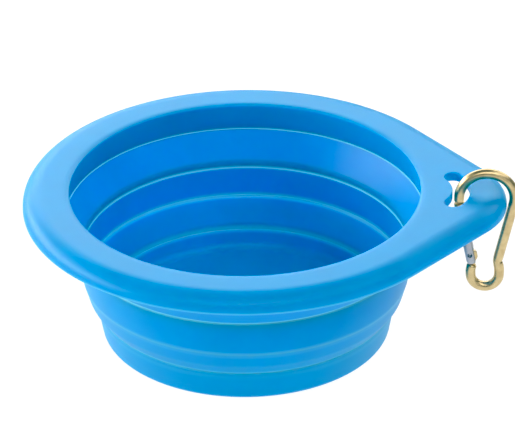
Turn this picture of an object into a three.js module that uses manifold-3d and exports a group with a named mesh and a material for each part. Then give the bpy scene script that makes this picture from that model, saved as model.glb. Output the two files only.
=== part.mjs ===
// Collapsible hanging bowl: a soft concertina bowl whose rim carries a tab with a small wire snap hook.
// Millimetres, +Z up. The origin is the middle of the base underside, and the tab points along +X.
import * as THREE from "three";
import { mergeVertices } from "three/addons/utils/BufferGeometryUtils.js";
import Module from "manifold-3d";

// Wall of the bowl: three stiff rings and the two conical pleats between them, their inner creases in height
const FLOOR = 2.2;
const BASE_RING_TOP = 8.2;
const LOWER_PLEAT_RISE = 9.6;
const MIDDLE_RING_HEIGHT = 8.7;
const UPPER_PLEAT_RISE = 11.3;
const UPPER_RING_HEIGHT = 9.1;
const MIDDLE_RING_FOOT = BASE_RING_TOP + LOWER_PLEAT_RISE;
const MIDDLE_RING_TOP = MIDDLE_RING_FOOT + MIDDLE_RING_HEIGHT;
const UPPER_RING_FOOT = MIDDLE_RING_TOP + UPPER_PLEAT_RISE;
const RIM_TOP = UPPER_RING_FOOT + UPPER_RING_HEIGHT;

// Radii of the rim and, inwards from it, of the same creases
const RIM_RADIUS = 65;
const RIM_WIDTH = 12.3;
const UPPER_RING_FLARE = 0.6;
const UPPER_PLEAT_RUN = 4.8;
const MIDDLE_RING_TAPER = 1.2;
const LOWER_PLEAT_RUN = 4.8;
const BASE_RING_TAPER = 1;
const MOUTH_RADIUS = RIM_RADIUS - RIM_WIDTH;
const UPPER_RING_FOOT_RADIUS = MOUTH_RADIUS + UPPER_RING_FLARE;
const MIDDLE_RING_TOP_RADIUS = UPPER_RING_FOOT_RADIUS - UPPER_PLEAT_RUN;
const MIDDLE_RING_FOOT_RADIUS = MIDDLE_RING_TOP_RADIUS - MIDDLE_RING_TAPER;
const BASE_RING_TOP_RADIUS = MIDDLE_RING_FOOT_RADIUS - LOWER_PLEAT_RUN;
const BASE_FLOOR_RADIUS = BASE_RING_TOP_RADIUS - BASE_RING_TAPER;

// Walls: how far each outer crease stands out from its inner crease, and how far above it
const UPPER_RING_WALL = 1.7;
const UPPER_RING_FOOT_RISE = 1.2;
const MIDDLE_RING_TOP_WALL = 2.4;
const MIDDLE_RING_TOP_RISE = 2.4;
const MIDDLE_RING_FOOT_WALL = 2;
const MIDDLE_RING_FOOT_RISE = 1;
const BASE_RING_TOP_WALL = 2.5;
const BASE_RING_TOP_RISE = 1.2;
const BASE_FOOT_WALL = 1.9;
const BASE_ROUNDING = 1;
const LEDGE = 0.6;
const LEDGE_ROUNDING = 0.2;
const HINGE_GAP = 0.25;

// Rim and tab
const RIM_SIDE_HEIGHT = 5.3;
const RIM_ROUNDING_WIDTH = 3.5;
const RIM_ROUNDING_HEIGHT = 4.7;
const RIM_PLATE = 3;
const SKIRT_WALL = 2.2;
const MOUTH_ROUNDING = 1.6;
const TAB_LENGTH = 11.9;
const TAB_TIP_RADIUS = 25.6;
const TAB_REACH = RIM_RADIUS + TAB_LENGTH;

// Curved slot in the tab, its long side across the tab and its bend following the tab's tip
const SLOT_LENGTH = 20.7;
const SLOT_WIDTH = 5.2;
const SLOT_BEND = 13.8;
const SLOT_FROM_TIP = 13.35;
const SLOT_MIDDLE = TAB_REACH - SLOT_FROM_TIP;

// Snap hook, in the upright plane through the tab's middle: its arch spans the bar between slot and tip
const WIRE_RADIUS = 1.5;
const HOOK_GAP = 1.75;
const HOOK_TIP_GAP = 0.7;
const BAR_INNER = SLOT_MIDDLE + SLOT_WIDTH / 2;
const ARCH_RADIUS = (TAB_REACH - BAR_INNER + HOOK_GAP + HOOK_TIP_GAP) / 2 + WIRE_RADIUS;
const ARCH_SINK = 2.7;
const ARCH_HEIGHT = RIM_TOP - ARCH_SINK;
const LIMB_LEAN = THREE.MathUtils.degToRad(12);
const LIMB_LENGTH = 19.7;
const LIMB_DROP = ARCH_RADIUS * Math.sin(LIMB_LEAN) + LIMB_LENGTH * Math.cos(LIMB_LEAN);
const WAIST_DROP = 0.55;
const WAIST_NARROWING = 0.6;
const FOOT_RADIUS = 4.2;
const FOOT_DROP = LIMB_DROP + WAIST_DROP + FOOT_RADIUS;
const PIVOT_RISE = 6.9;
const PIVOT_SIDE = 4.55;
const PIVOT_DROP = FOOT_DROP - PIVOT_RISE;

// Gate of the snap hook, along its own axis from the pivot
const SLEEVE_RADIUS = 1.5;
const SLEEVE_WALL = 0.3;
const SLEEVE_BELOW = 3;
const NOSE_GAP = 2;
const GATE_SPAN = Math.hypot(ARCH_RADIUS - PIVOT_SIDE, PIVOT_DROP - WIRE_RADIUS);
const SLEEVE_LENGTH = GATE_SPAN - NOSE_GAP;
const NECK_GAP = 0.7;
const NECK_LEAD = 1;
const BLADE_OUTER = 1.2;
const BLADE_INNER = 0.85;
const TONGUE_THICKNESS = 1.1;
const TONGUE_RADIUS = 0.95;
const TONGUE_BULGE = 2.1;
const TONGUE_SHOULDER = 0.75;
const TONGUE_CHAMFER = 0.4;
const TONGUE_SHOULDER_ANGLE = 50;
const SLOT_CLEARANCE = 0.2;
const SLOT_TOP = 2.2;
const RIVET_RADIUS = 0.55;
const LATCH_PIN_RADIUS = 0.5;
const PIN_CLEARANCE = 0.08;
const LATCH_BELOW_END = 1;
const LATCH_SIDE = 0.3;
const LATCH_HEIGHT = SLEEVE_LENGTH - LATCH_BELOW_END;
const CRIMP_BELOW_END = 3.1;
const CRIMP_HEIGHT = SLEEVE_LENGTH - CRIMP_BELOW_END;
const CRIMP_RADIUS = 0.6;
const CRIMP_WIDTH = 0.5;
const PLUNGER_HEAD = 1.2;
const PLUNGER_STEM = 2.4;
const PLUNGER_STEM_RADIUS = 0.45;
const PLUNGER_CLEARANCE = 0.15;
const SPRING_RADIUS = 0.82;
const SPRING_WIRE_RADIUS = 0.17;
const SPRING_TURNS = 8;
const SEAT_GAP = 0.3;

// Fineness of the round forms, the corner step in degrees
const BOWL_SEGMENTS = 72;
const RIM_ROUNDING_STEPS = 5;
const CORNER_STEP = 22.5;
const SLOT_STEPS = 20;
const SLOT_END_STEPS = 12;
const SLEEVE_SIDES = 24;
const PIN_SIDES = 16;
const WIRE_SIDES = 10;
const WIRE_STEPS = 84;
const SPRING_SIDES = 5;

// How far a cutter runs past the faces it opens, and the distance below which two corners are one
const CUT_PAST = 1;
const MERGE_DISTANCE = 1e-4;

const wasm = await Module();
wasm.setup();

// A closed solid from a geometry
function solid(geometry) {
  const bare = new THREE.BufferGeometry();
  bare.setAttribute("position", geometry.getAttribute("position").clone());
  if (geometry.index) bare.setIndex(geometry.index);
  const merged = mergeVertices(bare, MERGE_DISTANCE);
  const mesh = new wasm.Mesh({
    numProp: 3,
    vertProperties: merged.attributes.position.array,
    triVerts: new Uint32Array(merged.index.array),
  });
  return new wasm.Manifold(mesh);
}

// A geometry from a solid
function geometryOf(body) {
  const mesh = body.getMesh();
  const geometry = new THREE.BufferGeometry();
  geometry.setAttribute("position", new THREE.BufferAttribute(mesh.vertProperties, 3));
  geometry.setIndex(new THREE.BufferAttribute(mesh.triVerts, 1));
  geometry.computeVertexNormals();
  return geometry;
}

// A turned form about +Z from radius and height pairs, listed up the outside and down the inside
function turned(profile, segments) {
  const points = profile.map(([radius, height]) => new THREE.Vector2(radius, height));
  return new THREE.LatheGeometry(points, segments).rotateX(Math.PI / 2);
}

// A closed ring profile, its first point repeated at the end
function ringProfile(profile) {
  return [...profile, profile[0]];
}

// A rounded corner from one angle to another, as radius and height pairs
function corner(radius, height, size, from, to) {
  const points = [];
  const steps = Math.ceil(Math.abs(to - from) / CORNER_STEP);
  for (let step = 0; step <= steps; step++) {
    const angle = THREE.MathUtils.degToRad(from + ((to - from) * step) / steps);
    points.push([radius + size * Math.cos(angle), height + size * Math.sin(angle)]);
  }
  return points;
}

// Outline of rim and tab seen from above, drawn in by an inset
function rimOutline(inset) {
  const tipCentre = TAB_REACH - TAB_TIP_RADIUS;
  const tangent = Math.acos((RIM_RADIUS - TAB_TIP_RADIUS) / tipCentre);
  const points = [];
  const rimSteps = 60;
  const tipSteps = 16;
  for (let step = 0; step <= rimSteps; step++) {
    const angle = tangent + ((2 * Math.PI - 2 * tangent) * step) / rimSteps;
    const radius = RIM_RADIUS - inset;
    points.push(new THREE.Vector2(radius * Math.cos(angle), radius * Math.sin(angle)));
  }
  for (let step = 0; step <= tipSteps; step++) {
    const angle = -tangent + (2 * tangent * step) / tipSteps;
    const radius = TAB_TIP_RADIUS - inset;
    points.push(new THREE.Vector2(tipCentre + radius * Math.cos(angle), radius * Math.sin(angle)));
  }
  return new THREE.Shape(points);
}

// A box solid from its low and high corners
function box(low, high) {
  const size = high.map((value, axis) => value - low[axis]);
  const middle = high.map((value, axis) => (value + low[axis]) / 2);
  return solid(new THREE.BoxGeometry(...size).translate(...middle));
}

// An upright round rod from one height to another
function rod(radius, bottom, top, segments) {
  const geometry = new THREE.CylinderGeometry(radius, radius, top - bottom, segments);
  return geometry.rotateX(Math.PI / 2).translate(0, 0, (top + bottom) / 2);
}

// A round rod across the hook's plane
function crossRod(radius, length, along, up) {
  const geometry = new THREE.CylinderGeometry(radius, radius, length, PIN_SIDES);
  return geometry.translate(along, 0, up);
}

// Rim, skirt, tab and the stiff ring under the rim
function rimFlange() {
  const sideBottom = RIM_TOP - RIM_SIDE_HEIGHT;
  const plateBottom = RIM_TOP - RIM_PLATE;
  const blank = new THREE.ExtrudeGeometry(rimOutline(0), {
    depth: RIM_SIDE_HEIGHT,
    bevelThickness: RIM_ROUNDING_HEIGHT,
    bevelSize: RIM_ROUNDING_WIDTH,
    bevelOffset: -RIM_ROUNDING_WIDTH,
    bevelSegments: RIM_ROUNDING_STEPS,
  }).translate(0, 0, RIM_TOP - RIM_ROUNDING_HEIGHT - RIM_SIDE_HEIGHT);
  const past = 2 * TAB_REACH;
  const below = box([-past, -past, -past], [past, past, sideBottom]);
  const ringOutside = UPPER_RING_FOOT_RADIUS + UPPER_RING_WALL;
  const recess = new THREE.ExtrudeGeometry(rimOutline(SKIRT_WALL), {
    depth: plateBottom,
    bevelEnabled: false,
  });
  const hollow = solid(recess).subtract(solid(rod(ringOutside, -CUT_PAST, RIM_TOP, BOWL_SEGMENTS)));
  const ring = turned(
    ringProfile([
      [MOUTH_RADIUS - RIM_PLATE, UPPER_RING_FOOT],
      [UPPER_RING_FOOT_RADIUS, UPPER_RING_FOOT],
      [ringOutside, UPPER_RING_FOOT + UPPER_RING_FOOT_RISE],
      [ringOutside, RIM_TOP - RIM_PLATE / 2],
      [MOUTH_RADIUS - RIM_PLATE, RIM_TOP - RIM_PLATE / 2],
    ]),
    BOWL_SEGMENTS,
  );
  const mouth = turned(
    [
      [0, UPPER_RING_FOOT - CUT_PAST],
      [UPPER_RING_FOOT_RADIUS, UPPER_RING_FOOT - CUT_PAST],
      [UPPER_RING_FOOT_RADIUS, UPPER_RING_FOOT],
      ...corner(MOUTH_RADIUS + MOUTH_ROUNDING, RIM_TOP - MOUTH_ROUNDING, MOUTH_ROUNDING, 180, 90),
      [MOUTH_RADIUS + MOUTH_ROUNDING, RIM_TOP + CUT_PAST],
      [0, RIM_TOP + CUT_PAST],
    ],
    BOWL_SEGMENTS,
  );
  return solid(blank)
    .subtract(below)
    .subtract(hollow)
    .add(solid(ring))
    .subtract(solid(mouth))
    .subtract(curvedSlot());
}

// Cutter for the curved slot: two arcs about one centre, joined by round ends
function curvedSlot() {
  const bottom = RIM_TOP - RIM_SIDE_HEIGHT;
  const centre = SLOT_MIDDLE - SLOT_BEND;
  const halfWidth = SLOT_WIDTH / 2;
  const halfTurn = Math.asin((SLOT_LENGTH / 2 - halfWidth) / SLOT_BEND);
  const points = [];
  const arc = (along, across, radius, from, to, steps) => {
    for (let step = 0; step < steps; step++) {
      const angle = from + ((to - from) * step) / steps;
      points.push(new THREE.Vector2(along + radius * Math.cos(angle), across + radius * Math.sin(angle)));
    }
  };
  const endAlong = centre + SLOT_BEND * Math.cos(halfTurn);
  const endAcross = SLOT_BEND * Math.sin(halfTurn);
  arc(centre, 0, SLOT_BEND + halfWidth, -halfTurn, halfTurn, SLOT_STEPS);
  arc(endAlong, endAcross, halfWidth, halfTurn, halfTurn + Math.PI, SLOT_END_STEPS);
  arc(centre, 0, SLOT_BEND - halfWidth, halfTurn, -halfTurn, SLOT_STEPS);
  arc(endAlong, -endAcross, halfWidth, Math.PI - halfTurn, 2 * Math.PI - halfTurn, SLOT_END_STEPS);
  const depth = RIM_SIDE_HEIGHT + CUT_PAST;
  const geometry = new THREE.ExtrudeGeometry(new THREE.Shape(points), { depth, bevelEnabled: false });
  return solid(geometry.translate(0, 0, bottom));
}

// A conical pleat from the ring above to the ring below, clear of both by the hinge gap
function pleat(topRadius, topHeight, footRadius, footHeight, topWall, footWall) {
  const drop = new THREE.Vector2(footRadius - topRadius, footHeight - topHeight).normalize();
  const inset = drop.clone().multiplyScalar(HINGE_GAP);
  return turned(
    ringProfile([
      [footRadius - inset.x, footHeight - inset.y],
      [footRadius + footWall[0] - inset.x, footHeight + footWall[1] - inset.y],
      [topRadius + topWall[0] + inset.x, topHeight + topWall[1] + inset.y],
      [topRadius + inset.x, topHeight + inset.y],
    ]),
    BOWL_SEGMENTS,
  );
}

// Stiff ring in the middle of the wall, with a narrow ledge at its inner top edge
function middleRing() {
  const ledgeRadius = MIDDLE_RING_TOP_RADIUS + LEDGE;
  return turned(
    ringProfile([
      [MIDDLE_RING_FOOT_RADIUS, MIDDLE_RING_FOOT],
      [MIDDLE_RING_FOOT_RADIUS + MIDDLE_RING_FOOT_WALL, MIDDLE_RING_FOOT + MIDDLE_RING_FOOT_RISE],
      [MIDDLE_RING_TOP_RADIUS + MIDDLE_RING_TOP_WALL, MIDDLE_RING_TOP + LEDGE + MIDDLE_RING_TOP_RISE],
      [ledgeRadius, MIDDLE_RING_TOP + LEDGE],
      [MIDDLE_RING_TOP_RADIUS + LEDGE_ROUNDING, MIDDLE_RING_TOP + LEDGE - LEDGE_ROUNDING],
      [MIDDLE_RING_TOP_RADIUS, MIDDLE_RING_TOP],
    ]),
    BOWL_SEGMENTS,
  );
}

// Base ring and floor, with a narrow ledge at the ring's inner top edge
function baseCup() {
  const ledgeRadius = BASE_RING_TOP_RADIUS + LEDGE;
  const outerFoot = BASE_FLOOR_RADIUS + BASE_FOOT_WALL;
  return turned(
    [
      [0, 0],
      ...corner(outerFoot - BASE_ROUNDING, BASE_ROUNDING, BASE_ROUNDING, -90, 0),
      [BASE_RING_TOP_RADIUS + BASE_RING_TOP_WALL, BASE_RING_TOP + LEDGE + BASE_RING_TOP_RISE],
      [ledgeRadius, BASE_RING_TOP + LEDGE],
      [BASE_RING_TOP_RADIUS + LEDGE_ROUNDING, BASE_RING_TOP + LEDGE - LEDGE_ROUNDING],
      [BASE_RING_TOP_RADIUS, BASE_RING_TOP],
      ...corner(BASE_FLOOR_RADIUS - BASE_ROUNDING, FLOOR + BASE_ROUNDING, BASE_ROUNDING, 0, -90),
      [0, FLOOR],
    ],
    BOWL_SEGMENTS,
  );
}

// Middle of the hook's arch: the nose side stands just clear of the tab's bar
const archX = BAR_INNER - HOOK_GAP + ARCH_RADIUS - WIRE_RADIUS;
const archCentre = new THREE.Vector3(archX, 0, ARCH_HEIGHT);

// Frame of the closed gate: origin at the pivot, +Z towards the nose, +X into the hook
const pivot = archCentre.clone().add(new THREE.Vector3(-PIVOT_SIDE, 0, -PIVOT_DROP));
const gateLean = Math.atan2(PIVOT_SIDE - ARCH_RADIUS, PIVOT_DROP - WIRE_RADIUS);
const gateFrame = new THREE.Matrix4().makeRotationY(gateLean).setPosition(pivot);

// Middle line of the bent wire, from the nose over the arch, down the limb and round the foot to the tongue
function wirePath() {
  const points = [];
  const add = (along, up) => points.push(new THREE.Vector3(archX + along, 0, ARCH_HEIGHT + up));
  const noseEnd = new THREE.Vector3(0, 0, GATE_SPAN).applyMatrix4(gateFrame);
  points.push(noseEnd);
  const archSteps = 14;
  const archTurn = Math.PI + LIMB_LEAN;
  for (let step = 0; step <= archSteps; step++) {
    const angle = Math.PI - (archTurn * step) / archSteps;
    add(ARCH_RADIUS * Math.cos(angle), ARCH_RADIUS * Math.sin(angle));
  }
  const limbTop = ARCH_RADIUS * Math.cos(LIMB_LEAN);
  const limbDrop = ARCH_RADIUS * Math.sin(LIMB_LEAN);
  const limbSteps = 4;
  for (let step = 1; step <= limbSteps; step++) {
    const length = (LIMB_LENGTH * step) / limbSteps;
    add(limbTop - length * Math.sin(LIMB_LEAN), -limbDrop - length * Math.cos(LIMB_LEAN));
  }
  const waist = FOOT_RADIUS - WAIST_NARROWING;
  const belowWaist = FOOT_RADIUS - WAIST_NARROWING / 3;
  const bend = FOOT_RADIUS / 2;
  add(waist, -FOOT_DROP + FOOT_RADIUS);
  add(belowWaist, -FOOT_DROP + bend);
  const footSteps = 10;
  for (let step = 0; step <= footSteps; step++) {
    const angle = (-Math.PI * step) / footSteps;
    add(FOOT_RADIUS * Math.cos(angle), -FOOT_DROP + FOOT_RADIUS * Math.sin(angle));
  }
  add(-belowWaist, -FOOT_DROP + bend);
  const neck = -SLEEVE_BELOW - NECK_GAP;
  points.push(new THREE.Vector3(0, 0, neck - NECK_LEAD).applyMatrix4(gateFrame));
  points.push(new THREE.Vector3(0, 0, neck).applyMatrix4(gateFrame));
  return new THREE.CatmullRomCurve3(points, false, "centripetal");
}

// A round section with a given number of sides
function roundSection(radius, sides) {
  const points = [];
  for (let side = 0; side < sides; side++) {
    const angle = (2 * Math.PI * (side + 0.5)) / sides;
    points.push(new THREE.Vector2(radius * Math.cos(angle), radius * Math.sin(angle)));
  }
  return new THREE.Shape(points);
}

// A flat plate in the hook's plane, drawn in the gate's frame and centred on the plane
function hookPlate(points, thickness) {
  const shape = new THREE.Shape(points.map(([along, up]) => new THREE.Vector2(along, up)));
  const geometry = new THREE.ExtrudeGeometry(shape, { depth: thickness, bevelEnabled: false });
  geometry.translate(0, 0, -thickness / 2).rotateX(Math.PI / 2);
  return solid(geometry.applyMatrix4(gateFrame));
}

// Bent wire body with the flattened tongue at the gate's pivot and the notched blade of the nose
function hookBody() {
  const wire = new THREE.ExtrudeGeometry(roundSection(WIRE_RADIUS, WIRE_SIDES), {
    steps: WIRE_STEPS,
    extrudePath: wirePath(),
    bevelEnabled: false,
  });
  const tongueFoot = -SLEEVE_BELOW - 2 * NECK_GAP;
  const tongue = hookPlate(
    [
      [-TONGUE_RADIUS, tongueFoot],
      [TONGUE_RADIUS, tongueFoot],
      [TONGUE_RADIUS, -SLEEVE_BELOW],
      [TONGUE_BULGE, -SLEEVE_BELOW / 2],
      [TONGUE_BULGE, 0],
      [TONGUE_BULGE - TONGUE_CHAMFER, TONGUE_SHOULDER],
      ...corner(0, 0, TONGUE_RADIUS, TONGUE_SHOULDER_ANGLE, 180),
    ],
    TONGUE_THICKNESS,
  );
  const bladeTop = GATE_SPAN + NECK_GAP;
  const bladeFoot = LATCH_HEIGHT - LATCH_BELOW_END;
  const blade = hookPlate(
    [
      [-BLADE_OUTER, bladeTop],
      [-BLADE_OUTER, bladeFoot],
      [BLADE_INNER, bladeFoot],
      [BLADE_INNER, bladeTop],
    ],
    TONGUE_THICKNESS,
  );
  const rivetHole = crossRod(RIVET_RADIUS + PIN_CLEARANCE, 2 * SLEEVE_RADIUS, 0, 0);
  rivetHole.applyMatrix4(gateFrame);
  const notchSize = LATCH_PIN_RADIUS + SLOT_CLEARANCE;
  const notchFloor = LATCH_SIDE - notchSize;
  const notch = hookPlate(
    [
      [notchFloor, LATCH_HEIGHT - notchSize],
      [SLEEVE_RADIUS, LATCH_HEIGHT - notchSize],
      [SLEEVE_RADIUS, LATCH_HEIGHT + notchSize],
      [notchFloor, LATCH_HEIGHT + notchSize],
    ],
    2 * TONGUE_THICKNESS,
  );
  return solid(wire).add(tongue).add(blade).subtract(solid(rivetHole)).subtract(notch);
}

// Rolled sheet gate with a slot for the tongue, a slot for the nose blade and a crimp that stops the spring
function gateSleeve() {
  const bore = SLEEVE_RADIUS - SLEEVE_WALL;
  const tube = turned(
    ringProfile([
      [SLEEVE_RADIUS, -SLEEVE_BELOW],
      [SLEEVE_RADIUS, SLEEVE_LENGTH],
      [bore, SLEEVE_LENGTH],
      [bore, CRIMP_HEIGHT + CRIMP_WIDTH],
      [CRIMP_RADIUS, CRIMP_HEIGHT + CRIMP_WIDTH],
      [CRIMP_RADIUS, CRIMP_HEIGHT],
      [bore, CRIMP_HEIGHT],
      [bore, -SLEEVE_BELOW],
    ]),
    SLEEVE_SIDES,
  );
  const half = TONGUE_THICKNESS / 2 + SLOT_CLEARANCE;
  const past = 2 * SLEEVE_RADIUS;
  const tongueSlot = box([0, -half, -past], [past, half, SLOT_TOP]);
  const noseSlot = box([-past, -half, CRIMP_HEIGHT + CRIMP_WIDTH], [0, half, SLEEVE_LENGTH + past]);
  const rivetHole = crossRod(RIVET_RADIUS + PIN_CLEARANCE, 2 * past, 0, 0);
  const pinHole = crossRod(LATCH_PIN_RADIUS + PIN_CLEARANCE, 2 * past, LATCH_SIDE, LATCH_HEIGHT);
  return solid(tube)
    .subtract(tongueSlot)
    .subtract(noseSlot)
    .subtract(solid(rivetHole))
    .subtract(solid(pinHole));
}

// Plunger with a broad head on the tongue and a stem inside the spring
const plungerFoot = TONGUE_RADIUS + SEAT_GAP;
const plungerHead = plungerFoot + PLUNGER_HEAD;
function springPlunger() {
  const headRadius = SLEEVE_RADIUS - SLEEVE_WALL - PLUNGER_CLEARANCE;
  return turned(
    [
      [0, plungerFoot],
      [headRadius, plungerFoot],
      [headRadius, plungerHead],
      [PLUNGER_STEM_RADIUS, plungerHead],
      [PLUNGER_STEM_RADIUS, plungerHead + PLUNGER_STEM],
      [0, plungerHead + PLUNGER_STEM],
    ],
    PIN_SIDES,
  );
}

// Coil spring between the plunger's head and the crimp
function gateSpring() {
  const bottom = plungerHead + SEAT_GAP + SPRING_WIRE_RADIUS;
  const top = CRIMP_HEIGHT - SEAT_GAP - SPRING_WIRE_RADIUS;
  const points = [];
  const curlSteps = 8;
  for (let step = 0; step <= SPRING_TURNS * curlSteps; step++) {
    const angle = (2 * Math.PI * step) / curlSteps;
    const height = bottom + ((top - bottom) * step) / (SPRING_TURNS * curlSteps);
    points.push(
      new THREE.Vector3(SPRING_RADIUS * Math.cos(angle), SPRING_RADIUS * Math.sin(angle), height),
    );
  }
  const pitch = (top - bottom) / SPRING_TURNS;
  console.log("least gap between spring curls, mm:", (pitch - 2 * SPRING_WIRE_RADIUS).toFixed(2));
  return new THREE.ExtrudeGeometry(roundSection(SPRING_WIRE_RADIUS, SPRING_SIDES), {
    steps: SPRING_TURNS * curlSteps,
    extrudePath: new THREE.CatmullRomCurve3(points),
    bevelEnabled: false,
  });
}

// Materials: blue silicone, yellow-passivated wire and zinc-plated gate
const silicone = new THREE.MeshStandardMaterial({ color: 0x2f9be6, roughness: 0.55, metalness: 0 });
const goldWire = new THREE.MeshStandardMaterial({ color: 0xb59a5c, roughness: 0.32, metalness: 1 });
const zinc = new THREE.MeshStandardMaterial({ color: 0xb9bcc6, roughness: 0.3, metalness: 1 });
const steel = new THREE.MeshStandardMaterial({ color: 0x8f9298, roughness: 0.35, metalness: 1 });

const bowl = new THREE.Group();
function place(name, geometry, material, parent) {
  const mesh = new THREE.Mesh(geometry, material);
  mesh.name = name;
  parent.add(mesh);
}

place("base_cup", baseCup(), silicone, bowl);
const lowerPleat = pleat(
  MIDDLE_RING_FOOT_RADIUS,
  MIDDLE_RING_FOOT,
  BASE_RING_TOP_RADIUS + LEDGE,
  BASE_RING_TOP + LEDGE,
  [MIDDLE_RING_FOOT_WALL, MIDDLE_RING_FOOT_RISE],
  [BASE_RING_TOP_WALL - LEDGE, BASE_RING_TOP_RISE],
);
place("lower_fold_web", lowerPleat, silicone, bowl);
place("middle_wall_ring", middleRing(), silicone, bowl);
const upperPleat = pleat(
  UPPER_RING_FOOT_RADIUS,
  UPPER_RING_FOOT,
  MIDDLE_RING_TOP_RADIUS + LEDGE,
  MIDDLE_RING_TOP + LEDGE,
  [UPPER_RING_WALL, UPPER_RING_FOOT_RISE],
  [MIDDLE_RING_TOP_WALL - LEDGE, MIDDLE_RING_TOP_RISE],
);
place("upper_fold_web", upperPleat, silicone, bowl);
place("rim_flange", geometryOf(rimFlange()), silicone, bowl);

place("hook_body", geometryOf(hookBody()), goldWire, bowl);
const gate = new THREE.Group();
gate.applyMatrix4(gateFrame);
bowl.add(gate);
place("gate_sleeve", geometryOf(gateSleeve()), zinc, gate);
const pinLength = 2 * (SLEEVE_RADIUS - SLOT_CLEARANCE);
place("gate_rivet", crossRod(RIVET_RADIUS, pinLength, 0, 0), zinc, gate);
place("gate_latch_pin", crossRod(LATCH_PIN_RADIUS, pinLength, LATCH_SIDE, LATCH_HEIGHT), steel, gate);
place("spring_plunger", springPlunger(), steel, gate);
place("gate_spring", gateSpring(), steel, gate);

export default bowl;
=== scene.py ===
# Looks of the collapsible hanging bowl: soft blue moulding, gilt wire snap hook and bright rolled gate
import math

import bmesh
import bpy
from mathutils import Matrix, Vector


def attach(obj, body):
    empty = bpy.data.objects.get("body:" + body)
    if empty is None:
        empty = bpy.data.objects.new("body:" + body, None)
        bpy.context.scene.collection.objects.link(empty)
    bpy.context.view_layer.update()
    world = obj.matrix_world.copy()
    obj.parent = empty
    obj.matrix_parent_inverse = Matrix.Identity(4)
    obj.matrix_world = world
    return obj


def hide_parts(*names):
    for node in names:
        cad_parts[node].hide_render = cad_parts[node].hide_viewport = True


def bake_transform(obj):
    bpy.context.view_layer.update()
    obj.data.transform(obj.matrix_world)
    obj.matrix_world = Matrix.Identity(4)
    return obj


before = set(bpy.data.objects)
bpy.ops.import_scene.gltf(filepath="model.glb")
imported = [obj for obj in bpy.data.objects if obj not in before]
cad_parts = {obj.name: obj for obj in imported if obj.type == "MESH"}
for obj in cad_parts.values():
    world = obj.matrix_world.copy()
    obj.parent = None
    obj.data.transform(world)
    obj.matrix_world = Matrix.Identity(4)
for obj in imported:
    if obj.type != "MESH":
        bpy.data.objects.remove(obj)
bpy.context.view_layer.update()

MM = 0.001

# Camera of the photograph: place in millimetres, turns in degrees, and the whole view's turn about the bowl
IMAGE_WIDTH = 515
FOCAL_PIXELS = 3500
SENSOR_WIDTH = 36
CAMERA_PLACE = (0, -900.4, 543.4)
CAMERA_PITCH = 29.37
CAMERA_YAW = -0.23
CAMERA_ROLL = -0.52
VIEW_TURN = 3.3
CLIP_END = 50

# Brightness of the surroundings at the horizon and overhead, and its share on the left and on the right
SKY_LOW = 0.15
SKY_HIGH = 0.13
SKY_LEFT = 1.2
SKY_RIGHT = 0.9

# The photograph's deep colours lack all weak red
RED_BLACK_LEVEL = 0.052

# Floor under the bowl: half its width and its drop in metres, its grey, roughness and glow
STAGE_REACH = 6
STAGE_DROP = 0.0001
STAGE_GREY = 0.15
STAGE_ROUGHNESS = 0.9
STAGE_GLOW = 0.94

# Studio lights: name, place, width, height and power, in metres and watts, and the point they are aimed at
LIGHTS = [
    ("back_light", (0.2, 1.2, 0.72), 2.2, 0.6, 15),
    ("back_left_light", (-0.6, 1.1, 0.35), 1.0, 0.35, 2.8),
    ("left_light", (-1.1, 0.15, 0.42), 1.8, 0.45, 16),
    ("right_light", (0.8, -1.0, 0.35), 1.0, 0.3, 1),
    ("front_light", (0.1, -0.8, 1.0), 1.2, 0.6, 6),
    ("top_light", (0.8, -0.1, 1.0), 1.0, 0.8, 4),
]
LIGHT_AIM = Vector((0, 0, 0.03))

# Inner creases of the bowl's wall as radius and height, in millimetres
FLOOR_RADIUS = 41.3
FLOOR = 2.2
BASE_INNER = (42.5, 8.0)
MIDDLE_INNER_FOOT = (47.3, 17.8)
MIDDLE_INNER_TOP = (47.95, 26.85)
UPPER_INNER_FOOT = (53.0, 38.0)

# Outer creases of the same wall
BASE_FOOT_RADIUS = 42.8
BASE_OUTER = (44.6, 9.9)
LOWER_WEB_BELLY = (46.9, 13.2)
MIDDLE_OUTER_FOOT = (48.4, 18.3)
MIDDLE_WAIST = (49.0, 23.0)
MIDDLE_OUTER_TOP = (49.4, 29.35)
UPPER_WEB_BELLY = (52.3, 34.1)
UPPER_OUTER_FOOT = (55.0, 39.0)

# Ledges, lips and roots along the folds as offsets, and the places where the pleats swell
INNER_LEDGE = (0.35, 0.2)
OUTER_LEDGE = 0.15
ROOT = (0.22, 0.55)
UPPER_LIP = (0.5, 0.28)
LOWER_LIP = (0.4, 0.2)
UPPER_SWELL = (48.15, 28.9)
LOWER_SWELL = (43.2, 10.0)
UPPER_OVERHANG = (0.25, -0.5)
LOWER_OVERHANG = (0.05, -0.4)
FLAP = (0.6, 1.05)
INSET = 0.06

# Roundings of the wall
LEDGE_ROUNDING = 0.5
SWELL_ROUNDING = 3
LIP_ROUNDING = 0.2
OUTER_ROUNDING = 0.28
BEAD_ROUNDING = 1.2
BELLY_ROUNDING = 4
WAIST_ROUNDING = 40
FLOOR_ROUNDING = 3.2
FOOT_ROUNDING = 1.7

# Rim, tab and the curved slot in the tab
RIM_TOP = 46.9
RIM_RADIUS = 65.4
RIM_SIDE = 5.3
RIM_ROUNDING_WIDTH = 6
RIM_ROUNDING_HEIGHT = 4.3
RIM_PLATE = 3
SKIRT_WALL = 2.2
SKIRT_ROUNDING = 0.45
RECESS_ROUNDING = 0.9
MOUTH_RADIUS = 51.6
MOUTH_ROUNDING_WIDTH = 2.3
MOUTH_ROUNDING_HEIGHT = 0.6
TAB_REACH = 76.9
TAB_TIP_RADIUS = 25.6
SLOT_LENGTH = 20.7
SLOT_WIDTH = 5.2
SLOT_BEND = 13.8
SLOT_MIDDLE = 63.55
SLOT_ROUNDING = 0.4
SLOT_CUTTER_PAST = 2

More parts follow.
